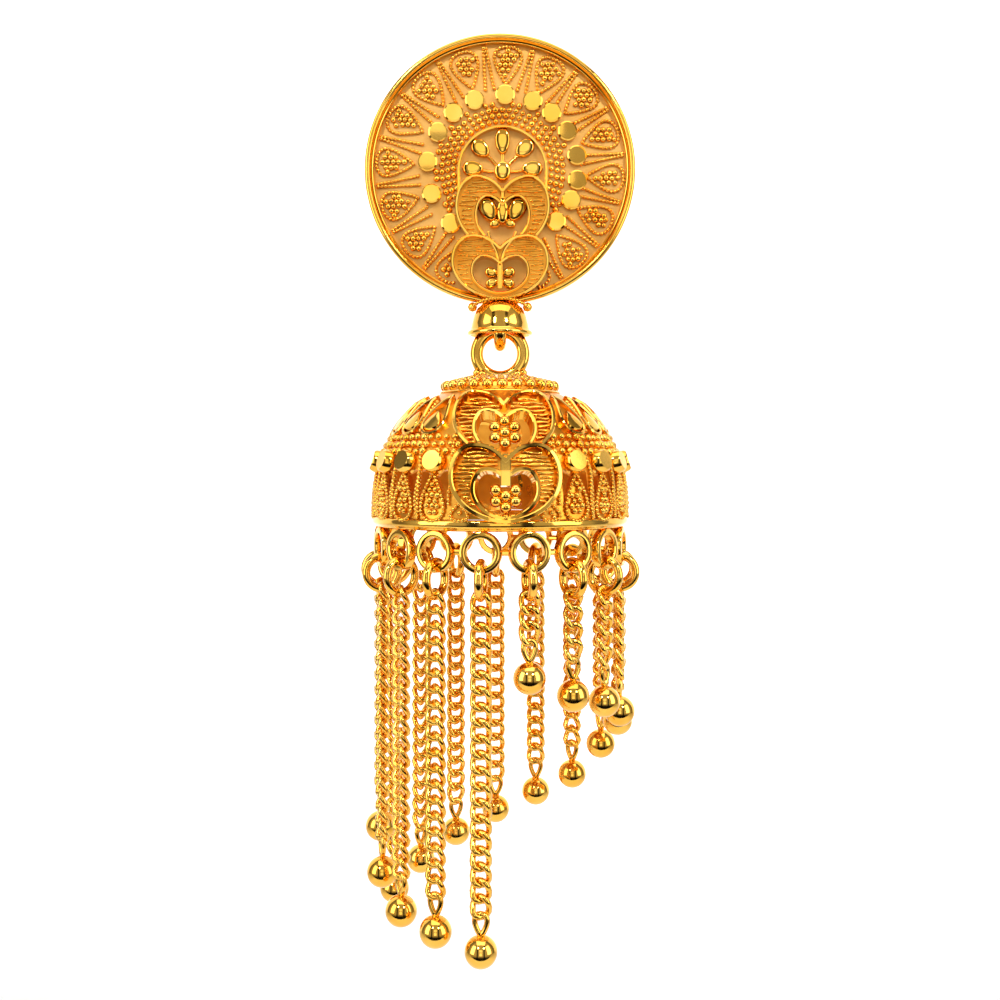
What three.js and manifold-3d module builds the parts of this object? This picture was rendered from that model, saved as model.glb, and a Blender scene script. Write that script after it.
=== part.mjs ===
// Jhumka earring: flower disc on an ear post, bell hung from it on a ring, and a fringe of ball-ended chains.
// Millimetres, +Z up. The disc faces -Y and its flat back is the plane y = 0. Everything hangs on the axis y = dropY.
import * as THREE from 'three';
import { mergeVertices } from 'three/addons/utils/BufferGeometryUtils.js';
import Module from 'manifold-3d';

const discRadius = 13.5;         // ear disc, outside of its rim
const rimWidth = 0.8;
const plateThick = 0.7;
const rimDepth = 1.7;            // rim height measured from the back
const dropCount = 16;            // granulated teardrops round the disc
const dropOrbit = 10.9;
const studCount = 14;            // flat studs between the teardrops and the middle
const studOrbit = 7.6;
const dropY = -1.0;              // hanging axis
const capRadius = 3.25;          // hollow cap under the disc
const capTop = -13.0;
const capLip = -16.6;
const loopWire = 0.6;            // radius of the tongue loop's wire
const loopBend = 1.4;
const ringCentreZ = -18.4;       // ring on top of the bell
const ringMean = 2.33;
const ringWire = 0.67;
const swingZ = ringCentreZ + ringMean;
const bellTurn = 2.3;            // heart panel's turn from straight ahead, degrees
const fringeCount = 17;
const fringeOrbit = 12.0;
const rimLoopZ = -37.4;
const rimLoopOuter = 1.95;
const rimLoopInner = 1.4;
const jumpZ = -39.9;
const jumpMean = 1.65;
const jumpWire = 0.35;
const chainTop = -42.0;
const chainWidth = 2.1;
const chainThick = 1.1;
const ballRadius = 1.5;
const pearHeight = 2.4;
const postRadius = 0.48;
const postLength = 11;
const postSeat = 1.9;            // shallow seat in the disc's back round the post
const postSeatDepth = 0.05;

// height of each end ball's centre, from just right of the front round to just left of it
const ballHeights = [-48.8, -50.7, -51.8, -53.5, -55.3, -58.6, -62.6, -65.0, -67.1,
  -69.3, -71.5, -73.4, -65.7, -68.9, -71.3, -72.2, -73.5];

const bellOutside = [
  [0, -20.5], [2.4, -20.5], [3.6, -21.0], [5.6, -21.5], [5.95, -21.9], [5.95, -22.4], [8.2, -23.7],
  [9.7, -25.4], [10.7, -26.8], [11.7, -28.5], [12.2, -30.4], [12.45, -33.0], [12.45, -34.4],
  [12.8, -34.6], [12.8, -35.3], [12.5, -35.55],
];
const bellInside = [
  [11.5, -35.55], [11.5, -33.0], [11.25, -30.4], [10.75, -28.6], [9.8, -27.2], [8.7, -25.8],
  [7.3, -24.5], [5.1, -23.2], [0, -22.2],
];

const wasm = await Module();
wasm.setup();

// closed manifold-3d solid of a geometry; vertices that should be one can round apart, so a coarser weld follows
function solid(geometry) {
  const g = geometry.clone();
  g.deleteAttribute('normal');
  g.deleteAttribute('uv');
  for (const tolerance of [1e-4, 2.3e-4, 7e-4]) {
    const m = mergeVertices(g, tolerance);
    try {
      return new wasm.Manifold(new wasm.Mesh({
        numProp: 3,
        vertProperties: Float32Array.from(m.attributes.position.array),
        triVerts: Uint32Array.from(m.index.array),
      }));
    } catch {
      continue;
    }
  }
  throw new Error('a shape is not closed');
}

function geometryOf(manifold) {
  const mesh = manifold.simplify(0.02).getMesh();
  const g = new THREE.BufferGeometry();
  g.setAttribute('position', new THREE.BufferAttribute(Float32Array.from(mesh.vertProperties), 3));
  g.setIndex(new THREE.BufferAttribute(Uint32Array.from(mesh.triVerts), 1));
  g.computeVertexNormals();
  return g;
}

const join = (parts) => wasm.Manifold.union(parts.map((p) => (p instanceof THREE.BufferGeometry ? solid(p) : p)));

// closed profile of [radius, height] turned about Z
function turned(profile, segments) {
  const g = new THREE.LatheGeometry(profile.map(([r, z]) => new THREE.Vector2(r, z)), segments);
  g.rotateX(Math.PI / 2);
  const m = solid(g);
  return m.volume() < 0 ? solid(flipped(g)) : m;
}

function flipped(g) {
  const index = Array.from(g.index.array);
  for (let i = 0; i < index.length; i += 3) [index[i], index[i + 1]] = [index[i + 1], index[i]];
  const out = g.clone();
  out.setIndex(index);
  return out;
}

// flat outline in the XZ plane, pushed from y = back forward to y = front (front < back)
function pad(points, back, front) {
  const shape = new THREE.Shape(points.map(([x, z]) => new THREE.Vector2(x, z)));
  const g = new THREE.ExtrudeGeometry(shape, { depth: back - front, bevelEnabled: false });
  g.rotateX(Math.PI / 2);
  g.translate(0, back, 0);
  return g;
}

function heart(width, height, topZ, steps) {
  const points = [];
  for (let i = 0; i < steps; i++) {
    const t = (2 * Math.PI * i) / steps;
    const x = 16 * Math.sin(t) ** 3;
    const z = 13 * Math.cos(t) - 5 * Math.cos(2 * t) - 2 * Math.cos(3 * t) - Math.cos(4 * t);
    points.push([(x / 32) * width, topZ + ((z - 12) / 29) * height]);
  }
  return points;
}

// teardrop outline, its round end at the top and its point at the bottom
function teardrop(width, length, steps) {
  const points = [];
  for (let i = 0; i < steps; i++) {
    const t = (2 * Math.PI * i) / steps;
    const narrowing = Math.cos(t / 2) ** 2 * 0.75 + 0.45;
    points.push([Math.sin(t) * narrowing * width * 0.5, Math.cos(t) * length * 0.5]);
  }
  return points;
}

function disc(radius, segments) {
  return Array.from({ length: segments }, (_, i) => {
    const t = (2 * Math.PI * (i + 0.5)) / segments;
    return [radius * Math.sin(t), radius * Math.cos(t)];
  });
}

const moved = (points, dx, dz, turn = 0) => points.map(([x, z]) => {
  const c = Math.cos(turn), s = Math.sin(turn);
  return [x * c + z * s + dx, z * c - x * s + dz];
});

function studDisc() {
  const profile = [
    [0, -postSeatDepth], [postSeat, -postSeatDepth], [postSeat + 0.1, 0], [discRadius - 0.25, 0], [discRadius, -0.3], [discRadius, -rimDepth + 0.25],
    [discRadius - 0.25, -rimDepth], [discRadius - rimWidth + 0.15, -rimDepth],
    [discRadius - rimWidth, -rimDepth + 0.25], [discRadius - rimWidth, -plateThick], [0, -plateThick],
  ];
  const plate = turned(profile, 48).rotate([-90, 0, 0]);
  const parts = [plate.boundingBox().min[1] < -rimDepth + 0.01 ? plate : plate.rotate([180, 0, 0])];

  for (let i = 0; i < dropCount; i++) {
    const a = ((i + 0.18) / dropCount) * 2 * Math.PI;
    if (Math.cos(a) < -0.85) continue;              // the lower heart covers these places
    const spot = moved(teardrop(2.7, 3.5, 10), dropOrbit * Math.sin(a), dropOrbit * Math.cos(a), a);
    parts.push(pad(spot, -plateThick + 0.1, -plateThick - 0.45));
  }
  for (let i = 0; i < studCount; i++) {
    const a = ((i / (studCount - 1)) * 268 - 134) * (Math.PI / 180);
    parts.push(pad(moved(disc(1.0, 8), studOrbit * Math.sin(a), studOrbit * Math.cos(a)), -plateThick + 0.1, -1.7));
  }
  parts.push(pad(disc(4.6, 24), -plateThick + 0.1, -1.35));
  parts.push(pad(heart(9.3, 8.2, -0.5, 24), -plateThick + 0.1, -2.3));
  parts.push(pad(heart(9.5, 6.6, -6.7, 24), -plateThick + 0.1, -2.5));

  const neck = new THREE.BoxGeometry(4.0, 1.4, 1.6);
  neck.translate(0, dropY + 0.1, capTop - 0.35);
  parts.push(neck);
  parts.push(cap(), tongueLoop());
  for (const side of [-1, 1]) {
    const bead = new THREE.SphereGeometry(0.5, 8, 6);
    bead.translate(side * 2.75, dropY, capTop - 0.8);
    parts.push(bead);
  }
  return join(parts);
}

function cap() {
  const outside = [[0, capTop], [1.3, capTop - 0.15], [2.2, capTop - 0.7], [2.75, capTop - 1.5],
    [3.0, capTop - 2.6], [capRadius, capTop - 3.0], [capRadius, capLip + 0.15], [capRadius - 0.12, capLip]];
  const inside = [[2.9, capLip], [2.62, capTop - 2.5], [2.3, capTop - 1.7], [1.6, capTop - 1.25], [0, capTop - 1.1]];
  return turned([...outside, ...inside], 28).translate([0, dropY, 0]);
}

// loop inside the cap that the bell's ring hangs on, in the YZ plane
function tongueLoop() {
  const legTop = capTop - 0.9;
  const low = swingZ - 0.08;
  const bend = new THREE.CurvePath();
  const at = (y, z) => new THREE.Vector3(0, y, z);
  const turnSteps = 10;
  bend.add(new THREE.LineCurve3(at(loopBend, legTop), at(loopBend, low)));
  for (let i = 0; i < turnSteps; i++) {
    const a = (Math.PI * i) / turnSteps, b = (Math.PI * (i + 1)) / turnSteps;
    bend.add(new THREE.LineCurve3(
      at(loopBend * Math.cos(a), low - loopBend * Math.sin(a)),
      at(loopBend * Math.cos(b), low - loopBend * Math.sin(b)),
    ));
  }
  bend.add(new THREE.LineCurve3(at(-loopBend, low), at(-loopBend, legTop)));
  const wire = new THREE.Shape(disc(loopWire, 8).map(([x, y]) => new THREE.Vector2(x, y)));
  const g = new THREE.ExtrudeGeometry(wire, { steps: 26, extrudePath: bend, bevelEnabled: false });
  g.translate(0, dropY, 0);
  return g;
}

// puts a geometry made at the front (-Y) round the hanging axis, turned by degrees towards +X
function roundAxis(geometry, degrees) {
  geometry.rotateZ((degrees * Math.PI) / 180);
  geometry.translate(0, dropY, 0);
  return geometry;
}

const fringeAngle = (i) => bellTurn + (360 / fringeCount) * (i + 0.5);

function bell() {
  const shell = turned([...bellOutside, ...bellInside], 34);
  const raised = turned([[0, -21.5], [5.9, -21.9], [8.9, -23.2], [10.5, -24.9], [11.5, -26.5], [12.4, -28.3],
    [12.9, -30.4], [13.1, -33.0], [13.1, -34.9], ...bellInside.slice(1)], 34);
  const panels = [];
  const windows = [];
  for (const turn of [0, 180]) {
    const face = (points, back, front) => {
      const g = pad(points, back, front);
      g.rotateZ(((bellTurn + turn) * Math.PI) / 180);
      return solid(g);
    };
    panels.push(face(heart(9.8, 8.0, -22.5, 22), -3, -14), face(heart(10.2, 8.0, -27.7, 22), -3, -14));
    if (turn) continue;                             // the back panel is closed behind its hearts
    windows.push(face(heart(5.6, 4.2, -24.2, 14), -3, -14), face(heart(6.0, 4.8, -29.8, 14), -3, -14));
  }
  const relief = wasm.Manifold.intersection([raised, join(panels)]);
  const body = join([shell, relief]).subtract(join(windows)).translate([0, dropY, 0]);

  const parts = [body];
  const ring = new THREE.TorusGeometry(ringMean, ringWire, 8, 22);
  ring.rotateX(Math.PI / 2);
  ring.translate(0, dropY, ringCentreZ);
  parts.push(ring);
  for (let i = 0; i < 8; i++) {
    for (const side of [-1, 1]) {
      const stud = new THREE.CylinderGeometry(0.8, 1.05, 1.2, 7);
      stud.rotateX(-0.18);
      stud.translate(0, -12.0, -29.2);
      parts.push(roundAxis(stud, bellTurn + side * (32 + i * 16.57)));
    }
  }
  for (let i = 0; i < fringeCount; i++) {
    parts.push(roundAxis(rimLoop(), fringeAngle(i)));
    const bridge = new THREE.BoxGeometry(0.95, 0.5, 0.6);
    bridge.translate(0, -fringeOrbit * Math.cos(Math.PI / fringeCount), rimLoopZ);
    parts.push(roundAxis(bridge, fringeAngle(i + 0.5)));
  }
  return join(parts);
}

// flat ring under the bell's rim that faces outwards
function rimLoop() {
  const outline = new THREE.Shape(disc(rimLoopOuter, 10).map(([x, y]) => new THREE.Vector2(x, y)));
  outline.holes.push(new THREE.Path(disc(rimLoopInner, 10).reverse().map(([x, y]) => new THREE.Vector2(x, y))));
  const g = new THREE.ExtrudeGeometry(outline, { depth: 0.9, bevelEnabled: false });
  g.rotateX(Math.PI / 2);
  g.translate(0, -fringeOrbit + 0.45, rimLoopZ);
  return g;
}

function jumpRing(i) {
  const g = new THREE.TorusGeometry(jumpMean, jumpWire, 5, 12);
  g.rotateY(Math.PI / 2);
  g.translate(0, -fringeOrbit, jumpZ);
  return roundAxis(g, fringeAngle(i));
}

// run of curb links as one straight tube, narrowed at both ends
function chain(i) {
  const low = ballHeights[i] + ballRadius + pearHeight - 0.1;
  const profile = [[0, low], [0.62, low], [1, low + 0.7], [1, chainTop - 0.7], [0.62, chainTop], [0, chainTop]];
  const g = new THREE.LatheGeometry(profile.map(([r, z]) => new THREE.Vector2(r, z)), 8);
  g.rotateX(Math.PI / 2);
  g.scale(chainWidth / 2, chainThick / 2, 1);
  g.translate(0, -fringeOrbit, 0);
  return roundAxis(g, fringeAngle(i));
}

// end ball with the pear-shaped loop it hangs by
function endBead(i) {
  const ball = new THREE.SphereGeometry(ballRadius, 10, 7);
  ball.rotateX(Math.PI / 2);
  ball.translate(0, -fringeOrbit, ballHeights[i]);
  const pear = new THREE.TorusGeometry(0.92, 0.24, 4, 8);
  pear.rotateX(Math.PI / 2);
  pear.scale(0.72, 1, 1.16);
  pear.translate(0, -fringeOrbit, ballHeights[i] + ballRadius + 0.9);
  return join([roundAxis(ball, fringeAngle(i)), roundAxis(pear, fringeAngle(i))]);
}

// plain post for the ear, hidden behind the disc
function earPost() {
  const profile = [[0, 0.08], [1.6, 0.08], [1.6, 0.45], [postRadius, 0.45], [postRadius, postLength - 0.3],
    [postRadius - 0.25, postLength], [0, postLength]];
  return turned(profile, 16).rotate([-90, 0, 0]);
}

const gold = { color: 0xd99a2b, roughness: 0.22, metalness: 1 };
const goldMatt = { color: 0xd8a052, roughness: 0.5, metalness: 1 };
const earring = new THREE.Group();
earring.name = 'jhumka_earring';

function add(name, geometry, look) {
  const g = geometryOf(geometry instanceof THREE.BufferGeometry ? solid(geometry) : geometry);
  const mesh = new THREE.Mesh(g, new THREE.MeshStandardMaterial(look));
  mesh.name = name;
  earring.add(mesh);
}

add('stud_disc', studDisc(), goldMatt);
add('ear_post', earPost(), gold);
add('bell', bell(), gold);
for (let i = 0; i < fringeCount; i++) {
  const number = String(i + 1).padStart(2, '0');
  add(`jump_ring_${number}`, jumpRing(i), gold);
  add(`chain_${number}`, chain(i), gold);
  add(`end_bead_${number}`, endBead(i), gold);
}

export default earring;
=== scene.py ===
import bpy, math, random
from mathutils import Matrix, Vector


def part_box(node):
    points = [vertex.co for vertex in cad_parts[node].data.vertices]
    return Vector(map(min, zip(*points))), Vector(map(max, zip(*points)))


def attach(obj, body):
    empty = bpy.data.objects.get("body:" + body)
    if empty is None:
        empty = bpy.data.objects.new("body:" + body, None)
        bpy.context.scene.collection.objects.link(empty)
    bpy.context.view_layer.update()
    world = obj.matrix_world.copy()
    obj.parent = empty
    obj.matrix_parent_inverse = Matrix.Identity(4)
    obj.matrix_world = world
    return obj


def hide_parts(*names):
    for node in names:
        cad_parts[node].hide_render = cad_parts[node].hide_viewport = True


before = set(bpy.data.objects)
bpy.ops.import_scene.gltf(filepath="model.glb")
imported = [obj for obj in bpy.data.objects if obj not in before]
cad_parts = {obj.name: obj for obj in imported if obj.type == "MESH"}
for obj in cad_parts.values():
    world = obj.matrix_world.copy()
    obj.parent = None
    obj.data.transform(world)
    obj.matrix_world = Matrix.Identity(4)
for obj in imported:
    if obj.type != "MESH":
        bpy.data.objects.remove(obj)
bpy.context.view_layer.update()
mm = 0.001
random.seed(7)
dropY = -1.0  # hanging axis, all measures below in millimetres
bellTurn = math.radians(2.3)


finishes = {
    "polished": dict(colour=(0.98, 0.56, 0.10), deep=(0.92, 0.46, 0.05), rough=0.09, roughSpread=0.07,
                     grain=900.0, bump=0.06, bumpDepth=0.00003),
    "relief": dict(colour=(0.98, 0.55, 0.09), deep=(0.86, 0.38, 0.03), rough=0.15, roughSpread=0.10,
                   grain=2600.0, bump=0.22, bumpDepth=0.00004),
    "frosted": dict(colour=(0.90, 0.50, 0.14), deep=(0.80, 0.40, 0.09), rough=0.46, roughSpread=0.14,
                    grain=9000.0, bump=0.55, bumpDepth=0.00003),
    # inner: ground of the dome and the beds between the heart bands; its darker, deeper orange colours are painted
    # shade for these recesses, its rougher finish is real
    "inner": dict(colour=(0.88, 0.40, 0.05), deep=(0.70, 0.25, 0.02), rough=0.30, roughSpread=0.15,
                  grain=1800.0, bump=0.25, bumpDepth=0.00005),
}


def goldMaterial(name):
    f = finishes[name]
    mat = bpy.data.materials.new(name + "Gold")
    mat.use_nodes = True
    tree = mat.node_tree
    shader = tree.nodes["Principled BSDF"]
    shader.inputs["Metallic"].default_value = 1.0
    where = tree.nodes.new("ShaderNodeTexCoord")
    grain = tree.nodes.new("ShaderNodeTexNoise")  # fine tool marks
    grain.inputs["Scale"].default_value = f["grain"]
    grain.inputs["Detail"].default_value = 4.0
    cloud = tree.nodes.new("ShaderNodeTexNoise")  # broad change of polish
    cloud.inputs["Scale"].default_value = 260.0
    cloud.inputs["Detail"].default_value = 3.0
    tint = tree.nodes.new("ShaderNodeValToRGB")
    tint.color_ramp.elements[0].position, tint.color_ramp.elements[1].position = 0.32, 0.62
    tint.color_ramp.elements[0].color = (*f["deep"], 1)
    tint.color_ramp.elements[1].color = (*f["colour"], 1)
    rough = tree.nodes.new("ShaderNodeMapRange")
    rough.inputs["To Min"].default_value = max(0.03, f["rough"] - f["roughSpread"] / 2)
    rough.inputs["To Max"].default_value = f["rough"] + f["roughSpread"] / 2
    bump = tree.nodes.new("ShaderNodeBump")
    bump.inputs["Strength"].default_value = f["bump"]
    bump.inputs["Distance"].default_value = f["bumpDepth"]
    link = tree.links.new
    link(where.outputs["Object"], grain.inputs["Vector"])
    link(where.outputs["Object"], cloud.inputs["Vector"])
    link(cloud.outputs["Fac"], tint.inputs["Fac"])
    link(tint.outputs["Color"], shader.inputs["Base Color"])
    link(cloud.outputs["Fac"], rough.inputs["Value"])
    link(rough.outputs["Result"], shader.inputs["Roughness"])
    link(grain.outputs["Fac"], bump.inputs["Height"])
    link(bump.outputs["Normal"], shader.inputs["Normal"])
    return mat


gold = {name: goldMaterial(name) for name in finishes}


def makeObject(name, verts, faces, edges=(), smooth=True):
    mesh = bpy.data.meshes.new(name)
    mesh.from_pydata([Vector(v) * mm for v in verts], list(edges), faces)
    if smooth and faces:
        mesh.shade_smooth()
    mesh.update()
    obj = bpy.data.objects.new(name, mesh)
    bpy.context.scene.collection.objects.link(obj)
    return obj


class Build:  # gathers faces of one piece
    def __init__(self):
        self.verts, self.faces = [], []

    def grid(self, rows, closeRow=False, closeCol=False):
        base, n = len(self.verts), len(rows[0])
        for row in rows:
            self.verts += row
        count = len(rows)
        for i in range(count if closeCol else count - 1):
            a, b = base + i * n, base + (i + 1) % count * n
            for j in range(n if closeRow else n - 1):
                k = (j + 1) % n
                self.faces.append((a + j, a + k, b + k, b + j))
        return base

    def fan(self, ring, centre, flip=False):
        base = len(self.verts)
        self.verts += list(ring) + [centre]
        n = len(ring)
        for i in range(n):
            f = (base + i, base + (i + 1) % n, base + n)
            self.faces.append(f[::-1] if flip else f)


def cleaned(obj, finish, sharp=0.6):
    import bmesh
    bm = bmesh.new()
    bm.from_mesh(obj.data)
    bmesh.ops.remove_doubles(bm, verts=bm.verts, dist=2e-7)
    bmesh.ops.dissolve_degenerate(bm, edges=bm.edges, dist=1e-8)
    bmesh.ops.recalc_face_normals(bm, faces=bm.faces)
    for f in bm.faces:
        f.smooth = True
    for e in bm.edges:
        if len(e.link_faces) == 2 and e.calc_face_angle(0) > sharp:
            e.smooth = False
    bm.to_mesh(obj.data)
    bm.free()
    obj.data.materials.clear()
    obj.data.materials.append(gold[finish])
    return obj


def lathe(build, profile, steps, place):  # closed profile of (radius, height), place(r, angle, h) gives the point
    rows = [[place(r, 2 * math.pi * i / steps, h) for r, h in profile] for i in range(steps)]
    build.grid(rows, closeRow=True, closeCol=True)


def aboutZ(cx=0.0, cy=dropY):
    return lambda r, a, h: (cx + r * math.sin(a), cy - r * math.cos(a), h)


def sweep(build, path, outs, section, closed=False):
    # section: list of (across, height); across lies in the surface, height points out of it
    rows = []
    n = len(path)
    for i, p in enumerate(path):
        a, b = (path[i - 1], path[(i + 1) % n]) if closed else (path[max(i - 1, 0)], path[min(i + 1, n - 1)])
        along = (Vector(b) - Vector(a)).normalized()
        out = Vector(outs[i])
        side = along.cross(out).normalized()
        out = side.cross(along).normalized()
        rows.append([tuple(Vector(p) + side * s + out * h) for s, h in section])
    build.grid(rows, closeRow=True, closeCol=closed)
    if not closed:
        for row, flip in ((rows[0], True), (rows[-1], False)):
            mid = sum((Vector(q) for q in row), Vector()) / len(row)
            build.fan(row, tuple(mid), flip)


def roundSection(r, sides=8):
    return [(r * math.cos(2 * math.pi * i / sides), r * math.sin(2 * math.pi * i / sides)) for i in range(sides)]


def flatSection(width, low, high, bevel=0.08):
    w = width / 2
    return [(-w, low), (-w, high - bevel), (-w + bevel, high), (w - bevel, high), (w, high - bevel), (w, low)]


def startTree(name, sockets):
    tree = bpy.data.node_groups.new(name, "GeometryNodeTree")
    tree.interface.new_socket("Geometry", in_out="INPUT", socket_type="NodeSocketGeometry")
    for label, kind in sockets:
        tree.interface.new_socket(label, in_out="INPUT", socket_type="NodeSocket" + kind)
    tree.interface.new_socket("Geometry", in_out="OUTPUT", socket_type="NodeSocketGeometry")
    return tree, tree.nodes.new("NodeGroupInput"), tree.nodes.new("NodeGroupOutput")


def namedVector(tree, name, kind="FLOAT_VECTOR"):
    node = tree.nodes.new("GeometryNodeInputNamedAttribute")
    node.data_type = kind
    node.inputs["Name"].default_value = name
    return next(s for s in node.outputs if s.enabled and s.name == "Attribute")


def endTree(tree, source, start, end):
    real = tree.nodes.new("GeometryNodeRealizeInstances")
    paint = tree.nodes.new("GeometryNodeSetMaterial")
    tree.links.new(source, real.inputs["Geometry"])
    tree.links.new(real.outputs["Geometry"], paint.inputs["Geometry"])
    tree.links.new(start.outputs["Material"], paint.inputs["Material"])
    tree.links.new(paint.outputs["Geometry"], end.inputs["Geometry"])


def instanceNodes(tree, start, points, turnX):
    part = tree.nodes.new("GeometryNodeObjectInfo")
    tree.links.new(start.outputs["Part"], part.inputs["Object"])
    turn = tree.nodes.new("FunctionNodeAxesToRotation")
    turn.primary_axis, turn.secondary_axis = "Z", "X"
    tree.links.new(namedVector(tree, "out"), turn.inputs["Primary Axis"])
    tree.links.new(turnX, turn.inputs["Secondary Axis"])
    put = tree.nodes.new("GeometryNodeInstanceOnPoints")
    tree.links.new(points, put.inputs["Points"])
    tree.links.new(part.outputs["Geometry"], put.inputs["Instance"])
    tree.links.new(turn.outputs["Rotation"], put.inputs["Rotation"])
    return put


def makePlaceTree():  # one part on every point, turned by the point's own vectors
    tree, start, end = startTree("placeParts", [("Part", "Object"), ("Material", "Material")])
    put = instanceNodes(tree, start, start.outputs["Geometry"], namedVector(tree, "along"))
    tree.links.new(namedVector(tree, "size"), put.inputs["Scale"])
    endTree(tree, put.outputs["Instances"], start, end)
    return tree


def makeRopeTree():  # lumps of a twisted wire at an even pitch along every path
    tree, start, end = startTree("twistedWire", [("Part", "Object"), ("Pitch", "Float"), ("Material", "Material")])
    curve = tree.nodes.new("GeometryNodeMeshToCurve")
    even = tree.nodes.new("GeometryNodeResampleCurve")
    even.mode = "LENGTH"
    tangent = tree.nodes.new("GeometryNodeInputTangent")
    tree.links.new(start.outputs["Geometry"], curve.inputs["Mesh"])
    tree.links.new(curve.outputs["Curve"], even.inputs["Curve"])
    tree.links.new(start.outputs["Pitch"], even.inputs["Length"])
    put = instanceNodes(tree, start, even.outputs["Curve"], tangent.outputs["Tangent"])
    endTree(tree, put.outputs["Instances"], start, end)
    return tree


def makeWireTree():  # uneven drawn wire along every path
    tree, start, end = startTree("drawnWire", [("Radius", "Float"), ("Uneven", "Float"), ("Material", "Material")])
    curve = tree.nodes.new("GeometryNodeMeshToCurve")
    ring = tree.nodes.new("GeometryNodeCurvePrimitiveCircle")
    ring.inputs["Resolution"].default_value = 6
    tree.links.new(start.outputs["Radius"], ring.inputs["Radius"])
    vary = tree.nodes.new("FunctionNodeRandomValue")
    vary.inputs["Seed"].default_value = 11
    low = tree.nodes.new("ShaderNodeMath")
    low.operation = "SUBTRACT"
    low.inputs[0].default_value = 1.0
    tree.links.new(start.outputs["Uneven"], low.inputs[1])
    minSocket = next(s for s in vary.inputs if s.enabled and s.name == "Min")
    tree.links.new(low.outputs[0], minSocket)
    fat = tree.nodes.new("GeometryNodeSetCurveRadius")
    tree.links.new(start.outputs["Geometry"], curve.inputs["Mesh"])
    tree.links.new(curve.outputs["Curve"], fat.inputs["Curve"])
    tree.links.new(next(s for s in vary.outputs if s.enabled), fat.inputs["Radius"])
    skin = tree.nodes.new("GeometryNodeCurveToMesh")
    skin.inputs["Fill Caps"].default_value = True
    if "Scale" in skin.inputs:
        tree.links.new(next(s for s in vary.outputs if s.enabled), skin.inputs["Scale"])
    tree.links.new(fat.outputs["Curve"], skin.inputs["Curve"])
    tree.links.new(ring.outputs["Curve"], skin.inputs["Profile Curve"])
    soft = tree.nodes.new("GeometryNodeSetShadeSmooth")
    tree.links.new(skin.outputs["Mesh"], soft.inputs["Geometry"])
    endTree(tree, soft.outputs["Geometry"], start, end)
    return tree


placeTree, ropeTree, wireTree = makePlaceTree(), makeRopeTree(), makeWireTree()


def runTree(name, source, tree, **values):
    mod = source.modifiers.new("nodes", "NODES")
    mod.node_group = tree
    for item in tree.interface.items_tree:
        if item.in_out == "INPUT" and item.name in values:
            mod[item.identifier] = values[item.name]
    depsgraph = bpy.context.evaluated_depsgraph_get()
    mesh = bpy.data.meshes.new_from_object(source.evaluated_get(depsgraph))
    mesh.name = name
    source.modifiers.clear()
    bpy.data.objects.remove(source)
    obj = bpy.data.objects.new(name, mesh)
    bpy.context.scene.collection.objects.link(obj)
    return obj


def place(name, part, spots, finish):  # spots: (point, out, along, size)
    source = makeObject(name + "Points", [s[0] for s in spots], [])
    for key, index in (("out", 1), ("along", 2), ("size", 3)):
        values = []
        for s in spots:
            v = s[index]
            values += list(v) if isinstance(v, (tuple, list, Vector)) else [v, v, v]
        source.data.attributes.new(key, "FLOAT_VECTOR", "POINT").data.foreach_set("vector", values)
    return runTree(name, source, placeTree, Part=part, Material=gold[finish])


def pathObject(name, paths):  # paths: list of (points, outs, closed)
    verts, edges, outs = [], [], []
    for points, normals, closed in paths:
        base = len(verts)
        verts += list(points)
        outs += list(normals)
        edges += [(base + i, base + i + 1) for i in range(len(points) - 1)]
        if closed:
            edges.append((base + len(points) - 1, base))
    source = makeObject(name + "Paths", verts, [], edges)
    flat = [c for o in outs for c in o]
    source.data.attributes.new("out", "FLOAT_VECTOR", "POINT").data.foreach_set("vector", flat)
    return source


def rope(name, paths, finish, pitch=0.3, part=None):
    return runTree(name, pathObject(name, paths), ropeTree, Part=part or ropeLump, Pitch=pitch * mm, Material=gold[finish])


def wires(name, paths, finish, radius=0.12, uneven=0.35):
    return runTree(name, pathObject(name, paths), wireTree, Radius=radius * mm, Uneven=uneven, Material=gold[finish])


def hide(obj):
    for c in list(obj.users_collection):
        c.objects.unlink(obj)
    return obj


def ball(name, radius, columns, rows, squash=(1, 1, 1)):
    b = Build()
    grid = []
    for i in range(1, rows):
        t = math.pi * i / rows
        grid.append([(radius * math.sin(t) * math.cos(2 * math.pi * j / columns) * squash[0],
                      radius * math.sin(t) * math.sin(2 * math.pi * j / columns) * squash[1],
                      radius * math.cos(t) * squash[2]) for j in range(columns)])
    b.grid(grid, closeRow=True)
    b.fan(grid[0], (0, 0, radius * squash[2]), True)
    b.fan(grid[-1], (0, 0, -radius * squash[2]))
    return cleaned(makeObject(name, b.verts, b.faces), "relief", sharp=3)


def turnedPart(name, profile, steps, finish="polished", sharp=0.5):  # stands on its own Z axis
    b = Build()
    inner = [p for p in profile if p[0] > 1e-6]
    rows = [[(r * math.cos(2 * math.pi * i / steps), r * math.sin(2 * math.pi * i / steps), h) for r, h in inner]
            for i in range(steps)]
    b.grid(rows, closeCol=True)
    b.fan([row[0] for row in rows], (0, 0, inner[0][1]))
    b.fan([row[-1] for row in rows], (0, 0, inner[-1][1]), True)
    return cleaned(makeObject(name, b.verts, b.faces), finish, sharp)


granule = hide(ball("granulePart", 0.5, 8, 6))  # diameter 1, sized by each point
lumpTurn = math.radians(38)
ropeLump = ball("ropeLumpPart", 0.24, 6, 5, (1.05, 0.78, 1.0))
for v in ropeLump.data.vertices:  # leans as a strand of the twist does
    x, y = v.co.x, v.co.y
    v.co.x, v.co.y = x * math.cos(lumpTurn) - y * math.sin(lumpTurn), x * math.sin(lumpTurn) + y * math.cos(lumpTurn)
hide(ropeLump)
print("stage: finishes and node trees ready")


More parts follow.
